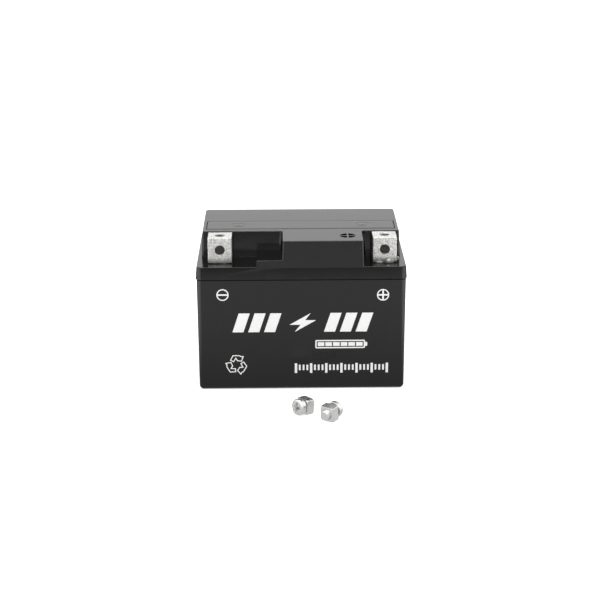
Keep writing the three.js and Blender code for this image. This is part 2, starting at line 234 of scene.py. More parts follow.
# printed marks
ink_thickness = 0.04 * mm
ink_sunk = 0.25  # share of the ink's thickness that lies in the plastic
sign_diameter = 6.6 * mm
sign_stroke = 0.6 * mm
sign_bar = 0.85 * mm
minus_middle = (-42.6 * mm, 54.9 * mm)
plus_middle = (44.1 * mm, 54.4 * mm)
band_x = (-37.6 * mm, 35.4 * mm)
band_z = (33.5 * mm, 44.3 * mm)
stripe_width = 6.0 * mm
stripe_pitch = 8.6 * mm
stripe_count = 3
stripe_slant = 0.33
charge_x = (7.5 * mm, 34.6 * mm)
charge_z = (23.9 * mm, 28.7 * mm)
charge_stroke = 0.7 * mm
charge_gap = 0.6 * mm
charge_count = 6
nose_gap = 0.02 * mm
nose_length = 1.2 * mm
nose_inset = 1.3 * mm
scale_x = (-3.6 * mm, 47.2 * mm)
scale_z = (9.6 * mm, 15.2 * mm)
tick_count = 25
tick_width = 1.0 * mm
tick_foot = 1.6 * mm
tick_drop = 0.8 * mm
tall_tick_every = 4
tall_tick_extra = 0.15 * mm
tall_tick_lift = 0.004 * mm
arrow_stroke = 0.5 * mm
arrow_middle = (-35.6 * mm, 14.7 * mm)


# ---- mesh tools


class Shell:
    """A closed mesh in the making: rings of points, joined by walls and closed by flat faces."""

    def __init__(self):
        self.bm = bmesh.new()

    def ring(self, points):
        return [self.bm.verts.new(point) for point in points]

    def box_ring(self, x, y, corner, z, inset=0.0, steps=arc_steps):
        """A level ring round a rectangle with round corners."""
        return self.ring(level(outline(rectangle(x, y), [corner] * 4, inset, steps), z))

    def loft(self, rings):
        for low, high in zip(rings, rings[1:]):
            for i in range(len(low)):
                j = (i + 1) % len(low)
                self.bm.faces.new((low[i], low[j], high[j], high[i]))

    def fill(self, *loops):
        edges = []
        for loop in loops:
            for a, b in zip(loop, loop[1:] + loop[:1]):
                edges.append(self.bm.edges.get((a, b)) or self.bm.edges.new((a, b)))
        bmesh.ops.triangle_fill(self.bm, use_beauty=True, edges=edges)

    def close(self, rings):
        """Walls from ring to ring, and a face on the first and the last."""
        self.loft(rings)
        self.fill(rings[0])
        self.fill(rings[-1])

    def finish(self, name):
        bmesh.ops.remove_doubles(self.bm, verts=self.bm.verts, dist=weld)
        bmesh.ops.recalc_face_normals(self.bm, faces=self.bm.faces)
        return piece_from(self.bm, name)


def piece_from(bm, name):
    mesh = bpy.data.meshes.new(name)
    bm.to_mesh(mesh)
    bm.free()
    piece = bpy.data.objects.new(name, mesh)
    bpy.context.scene.collection.objects.link(piece)
    return piece


def side(direction):
    """The direction turned a quarter to the left."""
    return Vector((-direction.y, direction.x))


def outline(corners, radii, inset=0.0, steps=arc_steps):
    """A right-angled polygon, counter-clockwise, with round corners, each side moved inwards by inset."""
    points = []
    count = len(corners)
    for i in range(count):
        here = Vector(corners[i])
        arriving = (here - Vector(corners[i - 1])).normalized()
        leaving = (Vector(corners[(i + 1) % count]) - here).normalized()
        turn = 1 if side(arriving).dot(leaving) > 0 else -1
        radius = max(radii[i] - turn * inset, smallest_radius)
        moved = here + inset * (side(arriving) + side(leaving))
        centre = moved - arriving * radius + leaving * radius
        for step in range(steps + 1):
            angle = math.pi / 2 * step / steps
            points.append(centre - leaving * radius * math.cos(angle) + arriving * radius * math.sin(angle))
    return points


def rectangle(x, y):
    return [(x[0], y[0]), (x[1], y[0]), (x[1], y[1]), (x[0], y[1])]


def circle(centre, radius, steps=round_steps):
    angles = [2 * math.pi * i / steps for i in range(steps)]
    return [Vector((centre[0] + radius * math.cos(a), centre[1] + radius * math.sin(a))) for a in angles]


def level(points, z):
    return [Vector((point.x, point.y, z)) for point in points]


def rounded(edge, steps=edge_steps):
    """How far in and how far back each ring of a round edge lies, from the side to the end."""
    angles = [math.pi / 2 * i / steps for i in range(steps + 1)]
    return [(edge * (1 - math.cos(a)), edge * (1 - math.sin(a))) for a in angles]


def prism(name, x, y, z, radius=0.0, edge=0.0):
    """An upright block with round corners, and round edges at its top and bottom."""
    sections = [(0, z[0]), (0, z[1])]
    if edge > 0:
        sections = [(inset, z[0] + back) for inset, back in reversed(rounded(edge))]
        sections += [(inset, z[1] - back) for inset, back in rounded(edge)]
    corner = max(radius, smallest_radius)
    steps = arc_steps if radius > 0 else 1
    shell = Shell()
    shell.close([shell.box_ring(x, y, corner, height, inset, steps) for inset, height in sections])
    return shell.finish(name)


def turned(name, profile, steps=round_steps):
    """A turned body about an upright axis at the origin; profile holds (radius, level) points."""
    shell = Shell()
    rings = [shell.ring(level(circle((0, 0), radius, steps), z)) for radius, z in profile if radius > 0]
    shell.loft(rings)
    for ring, end in ((rings[0], profile[0]), (rings[-1], profile[-1])):
        if end[0] == 0:
            shell.fill(ring)
    if profile[0][0] > 0:
        shell.loft([rings[-1], rings[0]])
    return shell.finish(name)


def rod(name, radius, z, steps=round_steps):
    return turned(name, [(0, z[0]), (radius, z[0]), (radius, z[1]), (0, z[1])], steps)


def placed(piece, matrix):
    """Moves a piece in its mesh, so that its object stays at the origin."""
    piece.data.transform(matrix)
    piece.data.update()
    return piece


def at(x, y, z):
    return Matrix.Translation((x, y, z))


def baked(piece):
    """The piece with its modifiers worked into a plain mesh."""
    graph = bpy.context.evaluated_depsgraph_get()
    mesh = bpy.data.meshes.new_from_object(piece.evaluated_get(graph), depsgraph=graph)
    old = piece.data
    piece.modifiers.clear()
    piece.data = mesh
    bpy.data.meshes.remove(old)
    return piece


def combined(piece, tool, operation):
    """The piece joined with or cut by a tool, which is used up."""
    modifier = piece.modifiers.new("combine", "BOOLEAN")
    modifier.operation = operation
    modifier.solver = "EXACT"
    modifier.object = tool
    baked(piece)
    bpy.data.objects.remove(tool)
    return piece


def cut(piece, x, y, z, corner=0.0):
    """The piece with a straight-sided pocket cut in it."""
    return combined(piece, prism("pocket", x, y, z, corner), "DIFFERENCE")


def gathered(name, pieces):
    """Several closed meshes as one piece."""
    bm = bmesh.new()
    for piece in pieces:
        bm.from_mesh(piece.data)
        bpy.data.objects.remove(piece)
    return piece_from(bm, name)


def smoothed(piece, angle=32):
    """Smooth shading that stops at edges sharper than the angle, with flat faces kept flat."""
    bm = bmesh.new()
    bm.from_mesh(piece.data)
    bmesh.ops.remove_doubles(bm, verts=bm.verts, dist=2 * weld)
    bmesh.ops.dissolve_degenerate(bm, edges=bm.edges, dist=weld)
    bmesh.ops.triangulate(bm, faces=[face for face in bm.faces if len(face.verts) > 4])
    bm.to_mesh(piece.data)
    bm.free()
    piece.data.shade_smooth()
    piece.data.set_sharp_from_angle(angle=math.radians(angle))
    weighted = piece.modifiers.new("weighted", "WEIGHTED_NORMAL")
    weighted.keep_sharp = True
    weighted.weight = 80
    return baked(piece)


# ---- copies in a row


def row_tree():
    """Copies of a shape along a line, each turned a little further about Y than the one before."""
    tree = bpy.data.node_groups.new("copies in a row", "GeometryNodeTree")
    kinds = {
        "Shape": "NodeSocketGeometry",
        "Start": "NodeSocketVector",
        "Step": "NodeSocketVector",
        "Turn": "NodeSocketFloat",
        "Count": "NodeSocketInt",
        "Material": "NodeSocketMaterial",
    }
    for name, kind in kinds.items():
        tree.interface.new_socket(name, in_out="INPUT", socket_type=kind)
    tree.interface.new_socket("Row", in_out="OUTPUT", socket_type="NodeSocketGeometry")
    new = tree.nodes.new
    given = new("NodeGroupInput")
    result = new("NodeGroupOutput")
    line = new("GeometryNodeMeshLine")
    line.mode = "OFFSET"
    index = new("GeometryNodeInputIndex")
    angle = new("ShaderNodeMath")
    angle.operation = "MULTIPLY"
    turn = new("ShaderNodeCombineXYZ")
    rotation = new("FunctionNodeEulerToRotation")
    copies = new("GeometryNodeInstanceOnPoints")
    real = new("GeometryNodeRealizeInstances")
    finish = new("GeometryNodeSetMaterial")
    for source, output, target, socket in (
        (given, "Start", line, "Start Location"),
        (given, "Step", line, "Offset"),
        (given, "Count", line, "Count"),
        (index, "Index", angle, 0),
        (given, "Turn", angle, 1),
        (angle, 0, turn, "Y"),
        (turn, 0, rotation, "Euler"),
        (line, "Mesh", copies, "Points"),
        (given, "Shape", copies, "Instance"),
        (rotation, 0, copies, "Rotation"),
        (copies, 0, real, 0),
        (real, 0, finish, "Geometry"),
        (given, "Material", finish, "Material"),
        (finish, 0, result, "Row"),
    ):
        tree.links.new(source.outputs[output], target.inputs[socket])
    return tree


copies_in_a_row = row_tree()


def row(piece, count, material, start=(0, 0, 0), step=(0, 0, 0), turn=0.0):
    """Repeats the piece's mesh with the row tree, and bakes it."""
    modifier = piece.modifiers.new("row", "NODES")
    modifier.node_group = copies_in_a_row
    values = {"Start": start, "Step": step, "Turn": turn, "Count": count, "Material": material}
    for item in copies_in_a_row.interface.items_tree:
        if item.in_out == "INPUT" and item.name in values:
            modifier[item.identifier] = values[item.name]
    return baked(piece)


# ---- shader tools


class Value:
    """A shader socket that can be used in sums."""

    def __init__(self, shader, socket):
        self.shader = shader
        self.socket = socket

    def sum(self, operation, first, second):
        return self.shader.node("Math", {"operation": operation}, {0: first, 1: second})

    def __add__(self, other):
        return self.sum("ADD", self, other)

    def __sub__(self, other):
        return self.sum("SUBTRACT", self, other)

    def __rsub__(self, other):
        return self.sum("SUBTRACT", other, self)

    def __mul__(self, other):
        return self.sum("MULTIPLY", self, other)

    def __rmul__(self, other):
        return self.sum("MULTIPLY", other, self)


class Shader:
    """The node tree of a material or a world."""

    def __init__(self, owner):
        owner.use_nodes = True
        self.tree = owner.node_tree
        self.tree.nodes.clear()

    def node(self, kind, settings=None, inputs=None, output=0):
        """One node: its type, then its settings, then the values or links of its sockets."""
        node = self.tree.nodes.new("ShaderNode" + kind)
        for name, value in (settings or {}).items():
            setattr(node, name, value)
        for name, value in (inputs or {}).items():
            if isinstance(value, Value):
                self.tree.links.new(value.socket, node.inputs[name])
            else:
                node.inputs[name].default_value = value
        return Value(self, node.outputs[output]) if len(node.outputs) else None

    def place(self):
        return self.node("TexCoord", output="Object")

    def axis(self, name, place=None):
        """One number of a place: X, Y or Z."""
        return self.node("SeparateXYZ", {}, {"Vector": place or self.place()}, output=name)

    def cloud(self, scale, detail=3.0, stretch=(1, 1, 1), roughness=0.5):
        """Soft noise on the piece's own coordinates; scale is in waves to a millimetre."""
        spread = tuple(scale / mm * s for s in stretch)
        where = self.node("Mapping", {}, {"Vector": self.place(), "Scale": spread})
        inputs = {"Vector": where, "Scale": 1.0, "Detail": detail, "Roughness": roughness}
        return self.node("TexNoise", {}, inputs)

    def ramp(self, factor, low, high, start=0.0, end=1.0):
        """A number that goes from low to high as the factor goes from start to end."""
        inputs = {"Value": factor, "From Min": start, "From Max": end, "To Min": low, "To Max": high}
        return self.node("MapRange", {"clamp": True}, inputs)

    def blend(self, factor, first, second):
        """A colour between the first and the second."""
        return self.node("Mix", {"data_type": "RGBA"}, {0: factor, 6: first, 7: second}, output=2)

    def bump(self, height, distance, strength=1.0):
        return self.node("Bump", {}, {"Height": height, "Distance": distance, "Strength": strength})

    def surface(self, **inputs):
        named = {name.replace("_", " "): value for name, value in inputs.items()}
        body = self.node("BsdfPrincipled", {}, named)
        self.node("OutputMaterial", {}, {"Surface": body})


def material(name, finish, *values):
    """A new material, with its nodes made by the finish from the values."""
    made = bpy.data.materials.new(name)
    finish(Shader(made), *values)
    return made


def rgb(red, green, blue):
    return (red, green, blue, 1.0)


def moulded_plastic(shader, tone, roughness, haze, ripple):
    """Black moulded plastic: faint flow marks, a fine grain, and gloss that varies in soft clouds."""
    clouds = shader.cloud(0.09, 4, (1, 1.6, 1.4))
    flow = shader.cloud(0.5, 3, (1, 0.35, 1))
    grain = shader.cloud(4.0, 2)
    dust = shader.ramp(shader.cloud(1.7, 4), 0.0, 1.0, 0.62, 0.8)
    dark = rgb(tone * 0.85, tone * 0.87, tone * 0.9)
    light = rgb(tone * 1.35, tone * 1.32, tone * 1.28)
    color = shader.blend(shader.ramp(clouds, 0, 1, 0.3, 0.7), dark, light)
    gloss = shader.ramp(clouds, roughness, roughness + haze, 0.35, 0.7) + flow * 0.03 + dust * 0.06
    height = clouds * 0.6 + flow * ripple + grain * 0.04
    normal = shader.bump(height, 0.02 * mm, 0.6)
    shader.surface(Base_Color=color, Roughness=gloss, IOR=1.5, Normal=normal)


def cast_lead(shader, light, dark, roughness, shaded_hollow=None):
    """Cast metal with a mottled skin, pits and dull patches.

    Between the two corners given as shaded_hollow it is darkened as painted shade inside the loop, and so is
    the foot, as painted shade along the deck, higher up where solder lies.
    """
    patches = shader.cloud(0.55, 5, roughness=0.65)
    crystals = shader.node(
        "TexVoronoi",
        {"feature": "F1"},
        {"Vector": shader.place(), "Scale": 1.6 / mm},
        output="Distance",
    )
    pits = shader.ramp(shader.cloud(3.2, 4), 1.0, 0.0, 0.3, 0.46)
    specks = shader.cloud(1.5, 4, roughness=0.6)
    tone = shader.ramp(patches * 0.5 + specks * 0.5 + crystals * 0.2 - 0.1, 0, 1, 0.36, 0.56)
    skin = shader.blend(tone, rgb(*dark), rgb(*light))
    color = shader.blend(pits * 0.55, skin, rgb(*(0.45 * part for part in dark)))
    dull = 0.0
    if shaded_hollow:
        # painted shade: a mask that is 1 inside the loop's hollow, where the lead is darkened to dark grey
        inside = 1.0
        fade = 0.3 * mm
        for axis, start, end in zip("XYZ", *shaded_hollow):
            spot = shader.axis(axis)
            inside = inside * shader.ramp(spot, 0, 1, start, start + fade)
            inside = inside * shader.ramp(spot, 1, 0, end - fade, end)
        color = shader.blend(inside * 0.9, color, rgb(0.14, 0.14, 0.135))
        # painted shade: the lead darkens towards its foot on the deck, reaching higher where the solder domes
        # lie, which also dims their highlights
        solder = shader.ramp(shader.axis("X"), 0, 0.9 * mm, 0, 1 * mm)
        height = shader.axis("Z") - solder + patches * mm
        foot = shader.ramp(height, 0.8, 0, deck_z + 0.6 * mm, deck_z + 3.2 * mm)
        color = shader.blend(foot, color, rgb(0.12, 0.12, 0.115))
        dull = foot * 0.3
    gloss = shader.ramp(patches, roughness + 0.12, roughness - 0.1, 0.35, 0.7) + pits * 0.2 + dull
    height = patches * 1.2 + crystals * 0.5 - pits * 0.8
    normal = shader.bump(height, 0.12 * mm, 0.8)
    shader.surface(Base_Color=color, Metallic=shader.ramp(tone, 0.72, 0.95), Roughness=gloss, Normal=normal)


def bright_zinc(shader):
    """Bright zinc plate over drawn steel: fine lines, faint blue and yellow films, small dull spots."""
    film = shader.cloud(0.35, 3)
    lines = shader.cloud(2.5, 3, (0.2, 1, 1))
    spots = shader.ramp(shader.cloud(1.6, 4), 0, 1, 0.56, 0.72)
    color = shader.blend(shader.ramp(film, 0, 1, 0.35, 0.65), rgb(0.84, 0.85, 0.87), rgb(0.90, 0.89, 0.85))
    worn = shader.blend(spots * 0.6, color, rgb(0.52, 0.525, 0.53))
    gloss = shader.ramp(film, 0.2, 0.36, 0.3, 0.7) + spots * 0.2
    normal = shader.bump(lines * 0.5 + spots * 0.4, 0.03 * mm, 0.7)
    shader.surface(Base_Color=worn, Metallic=1.0, Roughness=gloss, Normal=normal)


def printed_ink(shader):
    """White pad-printed ink: a little uneven in tone, with a fine orange-peel surface."""
    density = shader.cloud(1.2, 4)
    peel = shader.cloud(5.0, 2)
    color = shader.blend(shader.ramp(density, 0, 1, 0.25, 0.5), rgb(0.84, 0.84, 0.83), rgb(0.93, 0.93, 0.92))
    gloss = shader.ramp(peel, 0.35, 0.5)
    shader.surface(Base_Color=color, Roughness=gloss, Normal=shader.bump(peel, 0.01 * mm))


def soft_rubber(shader):
    """Matt black rubber with a bloom of pale dust."""
    bloom = shader.ramp(shader.cloud(0.8, 5), 0, 1, 0.45, 0.75)
    grain = shader.cloud(6.0, 2)
    color = shader.blend(bloom, rgb(0.016, 0.016, 0.017), rgb(0.05, 0.05, 0.048))
    shader.surface(
        Base_Color=color,
        Roughness=shader.ramp(bloom, 0.62, 0.85),
        Normal=shader.bump(grain, 0.03 * mm),
    )


def cast_resin(shader):
    """Poured resin: glassy, with a slow swirl of pigment and a few bubbles."""
    swirl = shader.cloud(0.5, 3)
    bubbles = shader.ramp(shader.cloud(3.0, 2), 0, 1, 0.6, 0.7)
    color = shader.blend(swirl, rgb(0.14, 0.024, 0.02), rgb(0.26, 0.05, 0.04))
    shader.surface(
        Base_Color=color,
        Roughness=shader.ramp(swirl, 0.12, 0.25) + bubbles * 0.2,
        Normal=shader.bump(bubbles, 0.05 * mm),
    )


def pasted_plate(shader, light, dark):
    """A pasted plate: crumbly paste in the diamond pattern of its grid."""
    paste = shader.cloud(1.4, 5, roughness=0.7)
    where = shader.node("Mapping", {}, {"Vector": shader.place(), "Rotation": (math.pi / 4, 0, 0)})
    inputs = {"Vector": where, "Scale": 0.25 / mm, "Mortar Size": 0.03}
    grid = shader.node("TexBrick", {"offset": 0.0}, inputs, output="Fac")
    shader.surface(
        Base_Color=shader.blend(paste, rgb(*dark), rgb(*light)),
        Roughness=shader.ramp(paste, 0.7, 0.95),
        Normal=shader.bump(paste - grid * 0.4, 0.1 * mm),
    )


def glass_mat(shader):
    """Glass-fibre mat: short crossing fibres."""
    along = shader.cloud(2.0, 4, (1, 0.15, 1.5))
    across = shader.cloud(2.0, 4, (1, 1.5, 0.15))
    fibres = along * across * 2
    tone = shader.ramp(fibres, 0, 1, 0.2, 0.8)
    shader.surface(
        Base_Color=shader.blend(tone, rgb(0.66, 0.65, 0.6), rgb(0.88, 0.87, 0.83)),
        Roughness=shader.ramp(fibres, 0.98, 0.85),
        Normal=shader.bump(fibres, 0.15 * mm),
    )


def clear_sealant(shader):
    """Clear sealant that crept out round a terminal."""
    swirl = shader.cloud(1.0, 3)
    shader.surface(
        Base_Color=shader.blend(swirl, rgb(0.82, 0.82, 0.8), rgb(0.95, 0.95, 0.94)),
        Roughness=shader.ramp(swirl, 0.05, 0.15),
        Transmission_Weight=0.85,
        IOR=1.5,
        Normal=shader.bump(swirl, 0.05 * mm),
    )


container_plastic = material("container plastic", moulded_plastic, 0.003, 0.17, 0.1, 0.5)
lid_plastic = material("lid plastic", moulded_plastic, 0.0016, 0.07, 0.1, 0.35)
# the box inside the lugs' loops where the lead is darkened as painted shade
lug_shaded_hollow = (
    (negative_low.x - 1 * mm, negative_low.y + 0.7 * mm, deck_z + 1 * mm),
    (positive_high.x + 1 * mm, negative_high.y - 0.5 * mm, negative_high.z - 0.7 * mm),
)
terminal_lead = material("terminal lead", cast_lead, (0.88, 0.87, 0.85), (0.40, 0.40, 0.39), 0.36, lug_shaded_hollow)
post_lead = material("post lead", cast_lead, (0.55, 0.55, 0.56), (0.25, 0.25, 0.26), 0.5)
zinc_steel = material("zinc steel", bright_zinc)
white_ink = material("white ink", printed_ink)
valve_rubber = material("valve rubber", soft_rubber)
seal_resin = material("seal resin", cast_resin)
positive_paste = material("positive paste", pasted_plate, (0.20, 0.09, 0.06), (0.08, 0.035, 0.025))
negative_paste = material("negative paste", pasted_plate, (0.34, 0.35, 0.37), (0.16, 0.165, 0.175))
separator_mat = material("separator mat", glass_mat)
sealant = material("clear sealant", clear_sealant)


def painted(piece, finish):
    piece.data.materials.clear()
    piece.data.materials.append(finish)
    return piece


def fitted(piece, finish, body, slot, *nodes):
    """Gives a finished piece its material and body, and hides the CAD nodes that it stands for; slot is not
    used.
    """
    painted(piece, finish)
    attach(piece, body)
    if nodes:
        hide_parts(*nodes)
    return piece


# ---- container


def cell_sides():
    """The two sides along X of each cell."""
    half = (cell_pitch - partition) / 2
    middles = [first_cell_x + i * cell_pitch for i in range(cell_count)]
    return [(middle - half, middle + half) for middle in middles]


def drafted(z):
    """How far the container's sides stand in from the lid's, at a level."""
    return container_inset + container_draft * (1 - z / shoulder_z)


def container():
    """Tapered box with six cells, a round base edge, and an upstand that the lid fits over."""
    sections = [(drafted(z) + inset, z) for inset, z in reversed(rounded(base_radius, base_steps))]
    sections += [(drafted(shoulder_z), shoulder_z), (lip_inset, shoulder_z), (lip_inset, container_high.z)]
    shell = Shell()
    rings = [shell.box_ring(case_x, case_y, rim_corner, z, inset) for inset, z in sections]
    shell.loft(rings)
    shell.fill(rings[0])
    half_depth = lid_high.y - container_inset - container_draft - wall
    y = (-half_depth, half_depth)
    mouths = []
    for x in cell_sides():
        mouth = shell.box_ring(x, y, cell_corner, container_high.z)
        foot = shell.box_ring(x, y, cell_corner, floor_thickness + cell_corner / 2)
        floor = shell.box_ring(x, y, cell_corner, floor_thickness, cell_corner / 2)
        shell.loft([mouth, foot, floor])
        shell.fill(floor)
        mouths.append(mouth)
    shell.fill(rings[-1], *mouths)
    piece = smoothed(shell.finish("battery_container"))
    return fitted(piece, container_plastic, "battery", "container_plastic", "container")


# ---- lid


def rim_and_deck():
    """The lid's rim, which leans in a little towards its top, with the deck and the pocket under it."""
    sections = [(rim_thickness, deck_under_z), (rim_thickness, lid_low.z)]
    sections += [(inset, lid_low.z + back) for inset, back in reversed(rounded(rim_foot_edge))]
    sections += [(rim_lean + inset, deck_z - back) for inset, back in rounded(rim_edge)]
    shell = Shell()
    shell.close([shell.box_ring(case_x, case_y, rim_corner, z, inset) for inset, z in sections])
    return shell.finish("battery_lid")


def block_sides():
    """The left and right sides of the raised block between the bays, at the deck."""
    return negative_high.x + left_bay, positive_low.x - right_bay


def raised_outline(z, outset=0.0):
    """The raised body and its block from above, at a level; outset moves all but the block's front."""
    share = (z - deck_z) / (top_z - deck_z)
    draft = raised_draft * share - outset
    left, right = block_sides()
    side_x = lid_high.x - raised_side - draft
    front = lid_low.y + bay_rear + draft
    rear = lid_high.y - raised_rear - draft
    block_y = lid_low.y + block_front + block_front_draft * share
    return [
        (-side_x, front),
        (left + draft, front),
        (left + draft, block_y),
        (right - draft, block_y),
        (right - draft, front),
        (side_x, front),
        (side_x, rear),
        (-side_x, rear),
    ]


def raised_body():
    radii = [front_corner, bay_corner, block_corner, block_corner]
    radii += [bay_corner, front_corner, rear_corner, rear_corner]
    shell = Shell()

    def ring(z, inset=0.0, outset=0.0):
        return shell.ring(level(outline(raised_outline(z, outset), radii, inset), z))

    rings = [ring(deck_z - raised_overlap, outset=foot_fillet)]
    rings += [ring(deck_z + rise, outset=spread) for rise, spread in rounded(foot_fillet)]
    rings += [ring(top_z - back, inset=inset) for inset, back in rounded(top_edge)]
    shell.close(rings)
    body = shell.finish("raised_body")
    for vertex in body.data.vertices:
        if vertex.co.y < strip_low.y and vertex.co.z > top_z - 2 * top_edge:
            vertex.co.z -= front_drop
    return body


def lid():
    """The rim and deck with the raised body, the ledge, the strip's seat, the trough and the hollows."""
    piece = rim_and_deck()
    combined(piece, raised_body(), "UNION")
    left = block_sides()[0]
    front = lid_low.y + bay_rear
    x = (left - ledge_width, left + ledge_overlap)
    y = (lid_low.y + block_front, front + ledge_overlap)
    z = (deck_z - ledge_overlap, deck_z + ledge_height)
    combined(piece, prism("ledge", x, y, z, ledge_corner, ledge_edge), "UNION")
    x = strip_high.x + strip_clearance
    y = (strip_low.y - strip_clearance, strip_high.y + strip_clearance)
    cut(piece, (-x, x), y, (top_z - strip_seat_depth, top_z + past), strip_corner)
    x = strip_high.x - strip_end_seat
    y = (strip_low.y + strip_side_seat, strip_high.y - strip_side_seat)
    trough_z = top_z - trough_depth
    cut(piece, (-x, x), y, (trough_z, top_z), trough_corner)
    thickness = lid_wall + raised_draft
    reach = lid_high.x - raised_side - thickness
    y = (front + thickness, lid_high.y - raised_rear - thickness)
    for cell in cell_sides():
        x = (max(cell[0], -reach), min(cell[1], reach))
        cut(piece, x, y, (deck_under_z - past, trough_z - trough_floor), hollow_corner)
        cut(piece, x, (strip_high.y, y[1]), (deck_under_z, top_z - thickness), hollow_corner)
    radius = (seal_high.x - seal_low.x) / 2 + seal_clearance
    for low, high in ((negative_low, negative_high), (positive_low, positive_high)):
        middle = (low + high) / 2
        hole = rod("hole", radius, (deck_under_z - past, deck_z + past))
        combined(piece, placed(hole, at(middle.x, middle.y, 0)), "DIFFERENCE")
    combined(piece, polarity_mark(), "DIFFERENCE")
    smoothed(piece, 30)
    return fitted(piece, lid_plastic, "battery", "lid_plastic", "lid")


def polarity_mark():
    """Cutter for the four pockets round a plus in the block's top."""
    radius, half = polarity_size / 2, polarity_bar / 2
    reach = radius + past
    z = (top_z - polarity_depth, top_z + past)
    tall = (z[0] - past, z[1] + past)
    pockets = rod("pockets", radius, z)
    cut(pockets, (-reach, reach), (-half, half), tall)
    cut(pockets, (-half, half), (-reach, reach), tall)
    return placed(pockets, at(block_sides()[1] - polarity_inset, lid_low.y + polarity_back, 0))


# ---- cover strip and valves


def over_cells(piece, finish):
    """A row of the piece, one over the middle of each cell."""
    return row(piece, cell_count, finish, (first_cell_x, valve_y, 0), (cell_pitch, 0, 0))


def cover_strip():
    """Flush strip over the valves, with two round marks and a peg over each valve cap."""
    x, y = (strip_low.x, strip_high.x), (strip_low.y, strip_high.y)
    plate_z = top_z - strip_thickness
    sections = [(0, plate_z)] + [(inset, top_z - back) for inset, back in rounded(strip_edge)]
    shell = Shell()
    rings = [shell.box_ring(x, y, strip_corner, z, inset) for inset, z in sections]
    shell.loft(rings)
    shell.fill(rings[0])
    radius = mark_diameter / 2
    dish = [
        (radius, 0),
        (radius - mark_slope, mark_depth),
        (radius - 3 * mark_slope, mark_depth),
        (radius - 4 * mark_slope, mark_middle_depth),
        (dimple_diameter / 2, mark_middle_depth),
        (dimple_diameter / 4, dimple_depth),
    ]
    marks = []
    for end in (-1, 1):
        centre = (end * mark_spacing / 2, (y[0] + y[1]) / 2)
        steps = [shell.ring(level(circle(centre, size), top_z - drop)) for size, drop in dish]
        shell.loft(steps)
        shell.fill(steps[-1])
        marks.append(steps[0])
    shell.fill(rings[-1], *marks)
    plate = shell.finish("cover_strip_plate")
    radius = peg_diameter / 2
    tip, foot = strip_low.z, plate_z + past
    profile = [(0, tip), (radius * peg_tip, tip), (radius, tip + peg_chamfer), (radius, foot), (0, foot)]
    pegs = over_cells(turned("peg", profile, peg_steps), lid_plastic)
    combined(plate, pegs, "UNION")
    smoothed(plate, 35)
    return fitted(plate, lid_plastic, "cover_strip", "lid_plastic", "cap_strip")


def vents():
    """The six vent tubes that stand in the trough."""
    foot = top_z - trough_depth
    top = foot + vent_height
    outer, inner = vent_outer / 2, vent_bore / 2
    profile = [
        (inner, foot + vent_gap),
        (outer + vent_flare, foot + vent_gap),
        (outer, foot + vent_flare_height),
        (outer, top - vent_edge),
        (outer - vent_edge, top),
        (inner, top),
    ]
    tubes = over_cells(turned("vents", profile, vent_steps), lid_plastic)
    return fitted(smoothed(tubes), lid_plastic, "battery", "lid_plastic")


def valve_caps():
    """Soft caps over the vents, each with a rolled skirt and a dished top."""
    outer = (cap_high.x - cap_low.x) / 2
    inner = outer - cap_wall
    waist = outer - cap_waist
    low, high = cap_low.z, cap_high.z
    roof = high - cap_roof
    profile = [
        (0, roof),
        (inner - cap_inner_edge, roof),
        (inner, roof - cap_inner_edge),
        (inner, low + cap_lip),
        (inner + cap_lip, low),
        (outer - cap_lip, low),
        (outer, low + cap_skirt_edge),
        (outer, low + cap_skirt),
        (waist, low + cap_skirt + cap_skirt_edge),
        (waist, high - 2 * cap_edge),
    ]
    profile += [(waist - inset, high - back) for inset, back in rounded(cap_edge)[1:]]
    profile += [(outer - 4 * cap_edge, high), (outer - 5 * cap_edge, high - cap_dish), (0, high - cap_dish)]
    caps = over_cells(turned("valve_caps", profile, cap_steps), valve_rubber)
    nodes = [f"valve_cap_{i + 1}" for i in range(cell_count)]
    return fitted(smoothed(caps), valve_rubber, "battery", "valve_rubber", *nodes)


# ---- terminals


def dome(x, y, width, rise):
    """A flat-footed dome of solder on the deck."""
    shell = Shell()
    bmesh.ops.create_icosphere(shell.bm, subdivisions=4, radius=1)
    shell.bm.transform(at(x, y, deck_z) @ Matrix.Diagonal((width / 2, width / 2 * dome_depth, rise, 1)))
    for vertex in shell.bm.verts:
        vertex.co.z = max(vertex.co.z, deck_z)
    return piece_from(shell.bm, "dome")


def cast_skin(piece, low, high):
    """Melts the parts into one skin with soft lumps, kept within the lug's sides and top."""
    remesh = piece.modifiers.new("remesh", "REMESH")
    remesh.mode = "VOXEL"
    remesh.voxel_size = lug_voxel
    remesh.use_smooth_shade = True
    relax = piece.modifiers.new("relax", "SMOOTH")
    relax.factor = 0.5
    relax.iterations = 3
    vertices = baked(piece).data.vertices
    normals = [vertex.normal.copy() for vertex in vertices]
    moved = []
    for vertex, normal in zip(vertices, normals):
        lump = sum(noise.noise(vertex.co / mm * waves) * height for waves, height in lug_lumps)
        point = vertex.co + normal * (lump - lug_sink)
        moved += [min(max(point.x, low.x), high.x), point.y, min(point.z, high.z)]
    vertices.foreach_set("co", moved)
    piece.data.update()
    return piece


